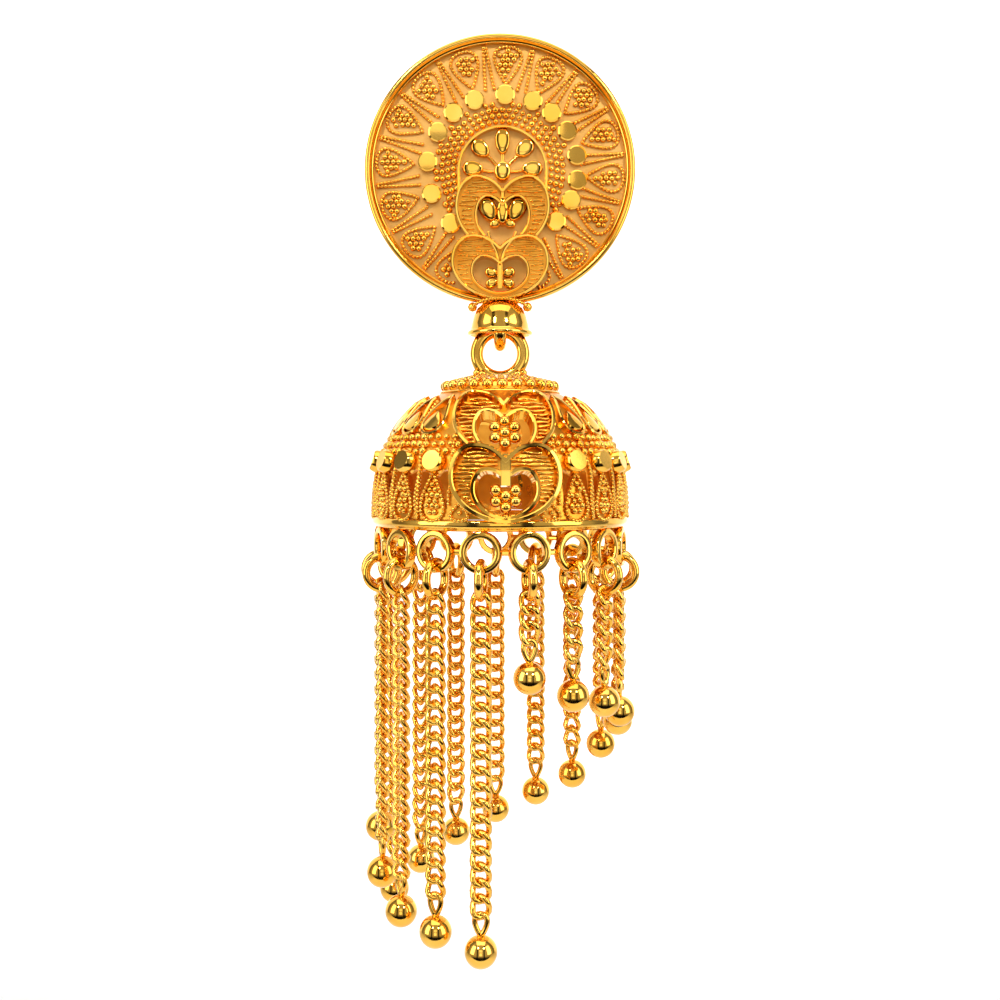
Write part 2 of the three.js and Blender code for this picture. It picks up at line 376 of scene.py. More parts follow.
def bezier(p0, p1, p2, p3, steps):
    out = []
    for i in range(steps):
        t = i / steps
        k = ((1 - t) ** 3, 3 * t * (1 - t) ** 2, 3 * t * t * (1 - t), t ** 3)
        out.append(tuple(k[0] * a + k[1] * b + k[2] * c + k[3] * d for a, b, c, d in zip(p0, p1, p2, p3)))
    return out


def heartOutline(width, height, topZ, steps=12):
    w, h = width / 2, height
    notch, peak, wide, foot = (0, -0.21 * h), (0.57 * w, 0), (w, -0.405 * h), (0, -h)
    half = bezier(notch, (0.10 * w, -0.11 * h), (0.28 * w, 0), peak, steps)
    half += bezier(peak, (0.83 * w, 0), (w, -0.18 * h), wide, steps)
    half += bezier(wide, (w, -0.70 * h), (0.60 * w, -0.97 * h), foot, steps)
    right = [(x, topZ + z) for x, z in half]
    left = [(-x, z) for x, z in right[1:]][::-1]
    return right + [(0, topZ - h)] + left


def dropOutline(width, length, steps=26):  # point at the top, middle at 0, 0
    out = []
    for i in range(steps):
        t = 2 * math.pi * i / steps
        out.append((math.sin(t) * width / 2 * (0.25 + 0.95 * math.sin(t / 2) ** 2) / 0.84, math.cos(t) * length / 2))
    return out


def inside(points, x, z):
    hit = False
    for (x1, z1), (x2, z2) in zip(points, points[1:] + points[:1]):
        if (z1 > z) != (z2 > z) and x < (x2 - x1) * (z - z1) / (z2 - z1) + x1:
            hit = not hit
    return hit


def edgeGap(points, x, z):
    best = 1e9
    for (x1, z1), (x2, z2) in zip(points, points[1:] + points[:1]):
        dx, dz = x2 - x1, z2 - z1
        t = max(0, min(1, ((x - x1) * dx + (z - z1) * dz) / (dx * dx + dz * dz + 1e-12)))
        best = min(best, math.hypot(x - x1 - t * dx, z - z1 - t * dz))
    return best


def filled(points, pitch, margin, jitter=0.06):  # staggered rows of places inside an outline
    low, high = min(p[1] for p in points), max(p[1] for p in points)
    reach = max(abs(p[0]) for p in points)
    spots, row, z = [], 0, low + margin
    while z < high - margin:
        x = -reach + (row % 2) * pitch / 2 + (reach % (pitch / 2))
        while x < reach:
            px, pz = x + random.uniform(-jitter, jitter), z + random.uniform(-jitter, jitter)
            if inside(points, px, pz) and edgeGap(points, px, pz) > margin:
                spots.append((px, pz))
            x += pitch
        z += pitch * 0.87
        row += 1
    return spots


def split(points, keep, closed=True):  # runs of an outline where keep(x, z) holds
    flags = [keep(*p) for p in points]
    if all(flags):
        return [(points, closed)]
    if not any(flags):
        return []
    first = next(i for i in range(len(points)) if not flags[i]) if closed else 0
    order = list(range(first, len(points))) + (list(range(first)) if closed else [])
    runs, run = [], []
    for i in order:
        if flags[i]:
            run.append(points[i])
        elif run:
            runs.append((run, False))
            run = []
    if run:
        runs.append((run, False))
    return [r for r in runs if len(r[0]) > 2]


def mound(build, outline, levels, put):  # levels: (scale about the middle, height)
    cx = sum(p[0] for p in outline) / len(outline)
    cz = sum(p[1] for p in outline) / len(outline)
    rows = [[put(cx + (x - cx) * s, cz + (z - cz) * s, h) for x, z in outline] for s, h in levels]
    build.grid(rows, closeRow=True)
    build.fan(rows[-1], put(cx, cz, levels[-1][1] + 0.0), False)
    build.fan(rows[0], put(cx, cz, levels[0][1]), True)


def bandRuns(build, runs, width, low, high, put, outOf, bevel=0.08):
    for points, closed in runs:
        sweep(build, [put(x, z, 0) for x, z in points], [outOf(x, z) for x, z in points],
              flatSection(width, low, high, bevel), closed)


def pathsOf(runs, height, put, outOf):
    return [([put(x, z, height) for x, z in pts], [outOf(x, z) for x, z in pts], closed) for pts, closed in runs]


def hatchLines(outer, inner, skip, pitch, margin, step=0.25):
    low, high = min(p[1] for p in outer), max(p[1] for p in outer)
    reach = max(p[0] for p in outer)
    lines, z = [], high - 0.45
    while z > low + 0.2:
        run, x = [], -reach
        while x <= reach + step:
            ok = inside(outer, x, z) and edgeGap(outer, x, z) > margin and not inside(inner, x, z) and \
                edgeGap(inner, x, z) > margin and not skip(x, z) and x <= reach
            if ok:
                run.append((x, z + 0.05 * math.sin(x * 3 + z * 5)))
            elif run:
                if len(run) > 2:
                    lines.append((run, False))
                run = []
            x += step
        z -= pitch
    return lines


def ride(obj, body, slotName, *nodes):
    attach(obj, body)
    if nodes:
        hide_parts(*nodes)
    return obj


disc = {
    "radius": 13.5, "front": 0.7, "rim": 1.7, "floorRadius": 12.66,
    "dropCount": 16, "dropOrbit": 10.55, "dropWidth": 2.75, "dropLength": 3.7, "dropLead": 4.0,
    "spokeOut": 12.3, "spokeIn": 8.2, "spokeSpread": 0.32, "ropePitch": 0.37,
    "studOrbit": 7.5, "studTilt": 0.09, "shift": 0.25,
    "studAngles": (2, 24, 41, 59, 79, 98, 114, 134, -22, -41, -60, -84, -109, -136),
    "bandInner": 4.9, "bandPitch": 0.68, "bandRows": 4, "bandGrain": 0.66,
    "archRadius": 4.35, "granule": 0.62,
    "upperHeart": (9.1, 7.3, -0.95), "upperInner": (5.3, 4.8, -2.85),
    "lowerHeart": (9.4, 6.2, -6.85), "lowerInner": (5.6, 3.7, -8.8),
}


def onDisc(x, z, h=0.0):
    return (x, -disc["front"] - h, z)


def discOut(x, z):
    return (0, -1, 0)


def discPlace(r, a, y):
    return (r * math.sin(a), -y, r * math.cos(a))


def turnedOutline(points, angle, orbit):  # outline's +z end points away from the middle
    s, c = math.sin(angle), math.cos(angle)
    return [(x * c + (z + orbit) * s, -x * s + (z + orbit) * c) for x, z in points]


def makeDisc():
    plate = Build()
    r, floor, front = disc["radius"], disc["floorRadius"], disc["front"]
    rows = []
    for i in range(128):
        a = 2 * math.pi * i / 128
        ring = [(1.9, 0.0), (4.0, 0.0), (8.0, 0.0), (r - 0.35, 0.0), (r - 0.1, 0.1), (r - 0.1, 0.5), (floor, front),
                (10.0, front), (6.0, front), (2.0, front)]
        rows.append([discPlace(rr, a, h) for rr, h in ring])
    plate.grid(rows, closeCol=True)
    plate.fan([row[0] for row in rows], (0, 0, 0))
    plate.fan([row[-1] for row in rows], (0, -front, 0), True)
    plateObj = cleaned(makeObject("discPlate", plate.verts, plate.faces), "frosted")

    rim = Build()
    profile = [(floor - 0.1, 0.3), (r - 0.2, 0.12), (r, 0.3), (r, 1.35), (r - 0.05, 1.55), (r - 0.2, 1.68), (r - 0.4, 1.7),
               (r - 0.5, 1.63), (r - 0.56, 1.5), (r - 0.58, 1.3), (r - 0.62, 1.24), (r - 0.68, 1.3), (r - 0.76, 1.34),
               (r - 0.84, 1.3), (r - 0.88, 1.2), (r - 0.9, 0.6)]
    lathe(rim, profile, 144, discPlace)
    rimObj = cleaned(makeObject("discRim", rim.verts, rim.faces), "polished", 0.9)

    lower = heartOutline(*disc["lowerHeart"])
    shift = disc["shift"]
    upper = [(x + shift, z) for x, z in heartOutline(*disc["upperHeart"])]
    lowerInner = heartOutline(*disc["lowerInner"])
    upperInner = [(x + shift, z) for x, z in heartOutline(*disc["upperInner"])]

    def covered(x, z, gap=0.25):
        return any(inside(o, x, z) or edgeGap(o, x, z) < gap for o in (lower, upper))

    ropes, grains = [], []
    for i in range(disc["dropCount"]):
        a = math.radians(disc["dropLead"] + 360 / disc["dropCount"] * i)
        flipped = [(-x, -z) for x, z in dropOutline(disc["dropWidth"], disc["dropLength"])]
        outline = turnedOutline(flipped, a, disc["dropOrbit"])
        runs = split(outline, lambda x, z: not covered(x, z))
        ropes += pathsOf(runs, 0.12, onDisc, discOut)
        for x, z in filled(outline, 0.56, 0.38):
            if not covered(x, z, 0.3):
                grains.append((onDisc(x, z, 0.12), (0, -1, 0), (1, 0, 0), disc["granule"] * random.uniform(0.85, 1.05)))
        b = a + math.pi / disc["dropCount"]
        for side in (-1, 1):
            path = []
            for k in range(12):
                t = k / 11
                rr = disc["spokeOut"] + (disc["spokeIn"] - disc["spokeOut"]) * t
                off = side * (0.12 + disc["spokeSpread"] * t)
                path.append((rr * math.sin(b) + off * math.cos(b), rr * math.cos(b) - off * math.sin(b)))
            ropes += pathsOf(split(path, lambda x, z: not covered(x, z), False), 0.1, onDisc, discOut)
    arch = disc["archRadius"]
    archPath = [(shift - arch, -2.6 + 0.4 * k) for k in range(6)]
    archPath += [(shift + arch * math.sin(math.radians(t)), -0.15 + arch * math.cos(math.radians(t))) for t in range(-90, 91, 4)]
    archPath += [(shift + arch, -0.6 - 0.4 * k) for k in range(6)]
    archRuns = split(archPath, lambda x, z: not covered(x, z, 0.1), False)

    studs = []
    for angle in disc["studAngles"]:
        a, tilt = math.radians(angle), disc["studTilt"]
        x, z = shift + disc["studOrbit"] * math.sin(a), disc["studOrbit"] * math.cos(a)
        lean = (random.uniform(-tilt, tilt), -1, random.uniform(-tilt, tilt))
        studs.append((onDisc(x, z), lean, (1, 0, 0), 1.0))
    for row in range(disc["bandRows"]):
        orbit = disc["bandInner"] + row * disc["bandPitch"] * 0.85
        n = int(2 * math.pi * orbit / disc["bandPitch"])
        for k in range(n):
            a = 2 * math.pi * (k + row * 0.5) / n
            x, z = shift + orbit * math.sin(a), orbit * math.cos(a)
            if not covered(x, z, 0.3) and all(math.hypot(x - s[0][0], z - s[0][2]) > 1.2 for s in studs):
                grains.append((onDisc(x, z, 0.1), (0, -1, 0), (1, 0, 0), disc["bandGrain"] * random.uniform(0.85, 1.1)))

    studPart = hide(turnedPart("studPart", [(0.98, 0.0), (1.0, 0.4), (0.97, 0.62), (0.84, 0.72), (0.4, 0.73)], 28))
    pieces = [plateObj, rimObj,
              rope("discRopes", ropes, "relief", disc["ropePitch"]),
              place("discGranules", granule, grains, "relief"),
              place("discStuds", studPart, studs, "polished")]

    beds = Build()
    for outer, hole, lift in ((upper, upperInner, 1.05), (lower, lowerInner, 1.15)):  # raised bed round each inner heart
        beds.grid([[onDisc(*o, -0.1), onDisc(*o, lift), onDisc(*h, lift), onDisc(*h, -0.1)] for o, h in zip(outer, hole)],
                  closeCol=True)

    def keepUpper(x, z):
        return not inside(lower, x, z) or edgeGap(lower, x, z) < 0.1

    def keepInner(x, z):
        return z > -6.5 or abs(x - shift) > 1.4

    flat = Build()
    bandRuns(flat, split(upper, keepUpper), 0.3, 0.5, 1.95, onDisc, discOut)
    bandRuns(flat, [(lower, True)], 0.3, 0.5, 2.05, onDisc, discOut)
    bandRuns(flat, split(upperInner, keepInner), 0.26, -0.1, 1.85, onDisc, discOut)
    bandRuns(flat, [(lowerInner, True)], 0.26, -0.1, 1.95, onDisc, discOut)
    bandRuns(flat, archRuns, 0.26, -0.1, 0.95, onDisc, discOut, 0.06)
    for side in (-1, 1):  # inner heart runs on into the stem
        fork = bezier((shift + side * 1.35, -6.45), (side * 1.2, -7.6), (side * 0.2, -7.9), (side * 0.13, -9.6), 14)
        bandRuns(flat, [(fork, False)], 0.26, 0.5, 1.95, onDisc, discOut)
    notch = [(shift, -2.2 - 0.12 * k) for k in range(9)]
    bandRuns(flat, [(notch, False)], 0.4, 0.5, 1.88, onDisc, discOut)
    pieces.append(cleaned(makeObject("discHeartBands", flat.verts, flat.faces), "polished", 0.5))

    def petal(b, x, z, width, length, angle, base, height):
        s, c = math.sin(angle), math.cos(angle)
        egg = [(width / 2 * math.sin(t) * (0.72 + 0.28 * math.sin(t / 2) ** 2), length / 2 * math.cos(t))
               for t in (2 * math.pi * k / 28 for k in range(28))]
        pts = [(x + px * c + pz * s, z - px * s + pz * c) for px, pz in egg]
        mound(b, pts, [(1.0, base), (1.0, base + height * 0.7), (0.93, base + height * 0.93), (0.8, base + height),
                       (0.4, base + height * 1.02)], onDisc)

    blooms = Build()
    heart = [(shift + 0.83 * math.sin(t * math.pi / 12), -0.3 + 0.98 * math.cos(t * math.pi / 12)) for t in range(24)]
    mound(blooms, heart, [(1.0, -0.1), (1.0, 1.2), (0.93, 1.38), (0.75, 1.46), (0.4, 1.5)], onDisc)
    petal(blooms, shift, 2.8, 1.75, 2.6, math.pi, -0.1, 0.9)
    for side in (-1, 1):
        petal(blooms, shift + side * 2.2, 2.1, 1.85, 2.1, side * math.radians(-132), -0.1, 0.85)
        petal(blooms, shift + side * 2.95, 0.1, 1.75, 2.1, side * math.radians(-92), -0.1, 0.85)
        petal(blooms, shift + side * 1.4, -4.15, 2.0, 2.5, side * math.radians(-155), -0.1, 1.5)  # lily in the upper heart
        petal(blooms, shift + side * 0.75, -5.5, 0.95, 1.15, side * math.radians(112), -0.1, 1.3)
        petal(blooms, side * 0.85, -10.35, 1.15, 1.35, math.radians(side * -110), -0.1, 1.3)
        petal(blooms, side * 0.8, -11.4, 1.1, 1.35, math.radians(side * -70), -0.1, 1.2)
    petal(blooms, shift, -4.25, 1.25, 2.9, 0, -0.1, 1.85)
    pieces.append(cleaned(makeObject("discBlooms", blooms.verts, blooms.faces), "polished", 0.9))
    # the beds take the inner finish, whose darker colour is painted shade between the bands
    pieces.append(cleaned(makeObject("discHeartBeds", beds.verts, beds.faces), "inner", 0.6))

    tails = []
    for side in (-1, 1):
        tails.append(([(shift + side * 1.6, 1.5), (shift + side * 1.0, 0.9), (shift + side * 0.5, 0.4)], False))
        tails.append(([(shift + side * 2.2, 0.0), (shift + side * 1.5, -0.15), (shift + side * 0.8, -0.2)], False))
        tails.append(([(side * 0.12, -9.2), (side * 0.12, -10.6), (side * 0.1, -12.0)], False))
    tails.append(([(shift, 2.0), (shift, 1.4), (shift, 0.8)], False))
    lines = hatchLines(upper, upperInner, lambda x, z: not keepUpper(x, z) or abs(x - shift) < 0.3 and z > -3.0, 0.46, 0.24)
    lines += hatchLines(lower, lowerInner, lambda x, z: abs(x) < 0.3 and z > -9.0, 0.46, 0.24)
    low = [t for t in tails if t[0][0][1] > -3]
    high = [t for t in tails if t[0][0][1] <= -3]
    pieces.append(wires("discHatch", pathsOf(lines, 1.15, onDisc, discOut), "relief", 0.17))
    pieces.append(wires("discStems", pathsOf(low, 0.25, onDisc, discOut) + pathsOf(high, 1.3, onDisc, discOut), "polished", 0.17, 0.1))
    return pieces


cap = {"radius": 3.25, "top": -13.0, "lip": -16.6, "wall": 0.35, "shoulder": 2.75, "bead": 1.0,
       "loopWire": 0.62, "loopBend": 1.4, "loopLow": -16.15}


def makeCap():
    b = Build()
    outer = [(0.02, -13.0), (1.0, -13.1), (1.7, -13.35), (2.25, -13.85), (2.62, -14.6), (2.82, -15.4), (2.95, -15.95),
             (3.08, -16.12), (3.22, -16.2), (3.26, -16.36), (3.2, -16.52), (3.06, -16.6)]
    inner = [(2.9, -16.55), (2.84, -16.3), (2.66, -15.9), (2.5, -15.2), (2.2, -14.5), (1.6, -14.1), (0.02, -13.95)]
    lathe(b, outer + inner, 72, aboutZ())
    capObj = cleaned(makeObject("capShell", b.verts, b.faces), "polished", 0.9)
    loop = Build()
    bend, low = cap["loopBend"], cap["loopLow"]
    path = [(0, dropY + bend, cap["top"] - 0.8), (0, dropY + bend, low + 0.4)]
    path += [(0, dropY + bend * math.cos(math.pi * k / 24), low - bend * math.sin(math.pi * k / 24)) for k in range(25)]
    path += [(0, dropY - bend, low + 0.4), (0, dropY - bend, cap["top"] - 0.8)]
    sweep(loop, path, [(1, 0, 0)] * len(path), roundSection(cap["loopWire"], 16))
    loopObj = cleaned(makeObject("tongueLoop", loop.verts, loop.faces), "polished", 1.2)
    beads = [((s * cap["shoulder"], dropY - 0.2, cap["top"] - 0.75), (0, -1, 0), (1, 0, 0), cap["bead"]) for s in (-1, 1)]
    arch = [((2.75 * math.sin(math.radians(t)), dropY - 0.9 - 0.7 * math.cos(math.radians(t)), -14.1 + 1.05 * math.cos(math.radians(t))))
            for t in range(-78, 79, 6)]
    collar = rope("capCollar", [(arch, [(0, -1, 0)] * len(arch), False)], "relief", 0.32)
    return [capObj, loopObj, place("capBeads", granule, beads, "polished"), collar]


for piece in makeDisc() + makeCap():
    ride(piece, "stud", "frosted_gold", "stud_disc")
print("stage: ear disc and cap made")


post = {"radius": 0.48, "length": 11.0, "flange": 1.6}


def makePost():
    b = Build()
    r, length = post["radius"], post["length"]
    profile = [(0.001, 0.08), (post["flange"], 0.08), (post["flange"], 0.35), (post["flange"] - 0.1, 0.45), (r + 0.15, 0.5),
               (r, 0.7), (r, length - 1.6), (r - 0.08, length - 1.5), (r - 0.08, length - 1.2), (r, length - 1.1),
               (r, length - 0.35), (r - 0.12, length - 0.12), (0.001, length)]
    rows = [[(rr * math.sin(a), h, rr * math.cos(a)) for rr, h in profile]
            for a in (2 * math.pi * i / 32 for i in range(32))]
    b.grid(rows, closeCol=True)
    return cleaned(makeObject("earPin", b.verts, b.faces), "polished", 0.5)


ride(makePost(), "stud", "post_gold", "ear_post")


bell = {
    "profile": [(-21.9, 5.6), (-22.4, 5.9), (-23.0, 7.0), (-23.7, 8.2), (-24.5, 9.0), (-25.4, 9.75), (-26.1, 10.25),
                (-26.8, 10.65), (-27.6, 11.15), (-28.5, 11.6), (-29.4, 11.9), (-30.4, 12.15), (-31.7, 12.32),
                (-33.0, 12.42), (-34.6, 12.45)],
    "wall": 0.45, "studAngle": 32.0, "step": 16.57, "sideCount": 8, "studZ": -29.25,
    "upperHeart": (8.8, 6.0, -23.0), "upperInner": (5.4, 4.0, -24.75),
    "lowerHeart": (9.4, 6.6, -27.95), "lowerInner": (5.7, 4.3, -29.95),
    "dropZ": -32.45, "dropLength": 4.3, "dropWidth": 2.45, "petalZ": -25.1, "bandTop": -26.95, "bandGrain": 0.74,
}


def bellRadius(z):
    p = bell["profile"]
    for (z1, r1), (z2, r2) in zip(p, p[1:]):
        if z >= z2:
            return r1 + (r2 - r1) * (z1 - z) / (z1 - z2)
    return p[-1][1]


def bellSlope(z):
    return (bellRadius(z - 0.3) - bellRadius(z + 0.3)) / 0.6


def bellAt(angle, z, h=0.0):
    k = bellSlope(z)
    n = math.hypot(1, k)
    r = bellRadius(z) + h / n
    return (r * math.sin(angle), dropY - r * math.cos(angle), z + h * k / n)


def bellOut(angle, z):
    k = bellSlope(z)
    n = math.hypot(1, k)
    return (math.sin(angle) / n, -math.cos(angle) / n, k / n)


def panelPut(turn):  # straight-ahead drawing laid on the dome
    def put(x, z, h=0.0):
        z = min(z, -21.95)
        return bellAt(bellTurn + turn + math.asin(max(-0.99, min(0.99, x / bellRadius(z)))), z, h)

    def out(x, z):
        z = min(z, -21.95)
        return bellOut(bellTurn + turn + math.asin(max(-0.99, min(0.99, x / bellRadius(z)))), z)
    return put, out


def sidePut(angle):  # x runs round the dome from one angle
    return (lambda x, z, h=0.0: bellAt(angle + x / bellRadius(z), z, h)), \
        (lambda x, z: bellOut(angle + x / bellRadius(z), z))


bellUpper, bellLower = heartOutline(*bell["upperHeart"]), heartOutline(*bell["lowerHeart"])
bellUpperInner, bellLowerInner = heartOutline(*bell["upperInner"]), heartOutline(*bell["lowerInner"])
bellDrop = dropOutline(bell["dropWidth"], bell["dropLength"])
sideAngles = [math.radians(bell["studAngle"] + bell["step"] * k) for k in range(bell["sideCount"])]
sideAngles = [s * a for a in sideAngles for s in (1, -1)]
petalAngles = [s * math.radians(40.6 + bell["step"] * k) for k in range(7) for s in (1, -1)]


def nearestTurn(angle, choices):
    best = min(choices, key=lambda c: abs(math.remainder(angle - c, 2 * math.pi)))
    return math.remainder(angle - best, 2 * math.pi)


def bellOpen(angle, z):  # True where the dome is cut through
    local = math.remainder(angle - bellTurn, 2 * math.pi)
    facing = math.remainder(local, math.pi)
    x = bellRadius(z) * math.sin(facing) if abs(facing) < 1.2 else 99
    if abs(x) < 6 and abs(local) > 1.5 and (inside(bellLower, x, z) or inside(bellUpper, x, z)):
        return False
    if abs(x) < 6:
        if inside(bellLower, x, z) or inside(bellUpper, x, z):
            lowerHit = inside(bellLower, x, z)
            if lowerHit:
                return (inside(bellLowerInner, x, z) or edgeGap(bellLowerInner, x, z) < 0.14) and not (abs(x) < 0.35 and z > -31.2)
            return (inside(bellUpperInner, x, z) or edgeGap(bellUpperInner, x, z) < 0.12) and z > -28.0
        if abs(x) < 0.35 and -29.4 < z < -28.4:
            return True
    if abs(local) > 1.75:
        return False
    u = nearestTurn(local, sideAngles) * bellRadius(z)
    if -33.4 < z < -29.9 and abs(u) < 1.55:
        zz = z - bell["dropZ"]
        return not inside(bellDrop, u, zz) and edgeGap(bellDrop, u, zz) > 0.1 and abs(facing) > 0.35 and \
            math.hypot(u, z - bell["studZ"]) > 1.1
    if -28.6 < z < -26.8 and abs(facing) > 0.5:
        return math.sin(angle * 61) * math.sin(z * 4.6) > 0.72
    if -24.3 < z < -23.35:
        v = nearestTurn(local, [a + math.radians(bell["step"] / 2) for a in petalAngles]) * bellRadius(z)
        return abs(v) < 0.3 and abs(facing) > 0.6
    return False


def makeShell():
    columns, step = 288, 0.25
    tops = [-21.9, -22.4]
    zs = tops + [-22.65 - step * k for k in range(48)]
    outer = [[bellAt(2 * math.pi * i / columns, z) for i in range(columns)] for z in zs]
    inner = [[bellAt(2 * math.pi * i / columns, z, -bell["wall"]) for i in range(columns)] for z in zs]
    opened = set()
    for j in range(len(zs) - 1):
        for i in range(columns):
            if j > 2 and bellOpen(2 * math.pi * (i + 0.5) / columns, (zs[j] + zs[j + 1]) / 2):
                opened.add((i, j))
    b = Build()
    b.verts = [p for row in outer for p in row] + [p for row in inner for p in row]
    half = columns * len(zs)
    isOpen = lambda i, j: (i % columns, j) in opened or j < 0 or j >= len(zs) - 1
    for j in range(len(zs) - 1):
        for i in range(columns):
            if (i, j) in opened:
                continue
            a, c = j * columns + i, j * columns + (i + 1) % columns
            d, e = a + columns, c + columns
            b.faces.append((a, d, e, c))
            b.faces.append((half + a, half + c, half + e, half + d))
            for blocked, p, q in ((isOpen(i, j - 1), a, c), (isOpen(i, j + 1), e, d), (isOpen(i - 1, j), d, a), (isOpen(i + 1, j), c, e)):
                if blocked:
                    b.faces.append((p, q, half + q, half + p))
    edge = {}
    for i, j in opened:  # ease the stepped edges of the openings
        for di, dj in ((0, 0), (1, 0), (0, 1), (1, 1)):
            edge[((i + di) % columns, j + dj)] = True
    flatPos = {}
    for (i, j) in edge:
        around = [((i + 1) % columns, j), ((i - 1) % columns, j), (i, j + 1), (i, j - 1)]
        mates = [m for m in around if m in edge]
        closedCells = [(x % columns, y) in opened for x, y in ((i, j), (i - 1, j), (i, j - 1), (i - 1, j - 1))]
        if 0 < sum(closedCells) < 4 and len(mates) >= 2:
            flatPos[(i, j)] = mates
    for side in (0, half):
        for _ in range(2):
            moved = {}
            for (i, j), mates in flatPos.items():
                here = Vector(b.verts[side + j * columns + i])
                mean = sum((Vector(b.verts[side + m[1] * columns + m[0]]) for m in mates if m in flatPos), Vector())
                n = sum(1 for m in mates if m in flatPos)
                if n:
                    moved[(i, j)] = tuple(here.lerp(mean / n, 0.45))
            for (i, j), p in moved.items():
                b.verts[side + j * columns + i] = p
    # the dome wall takes the inner finish, whose darker colour is painted shade for the recessed ground
    return cleaned(makeObject("bellShell", b.verts, b.faces), "inner", 0.7)


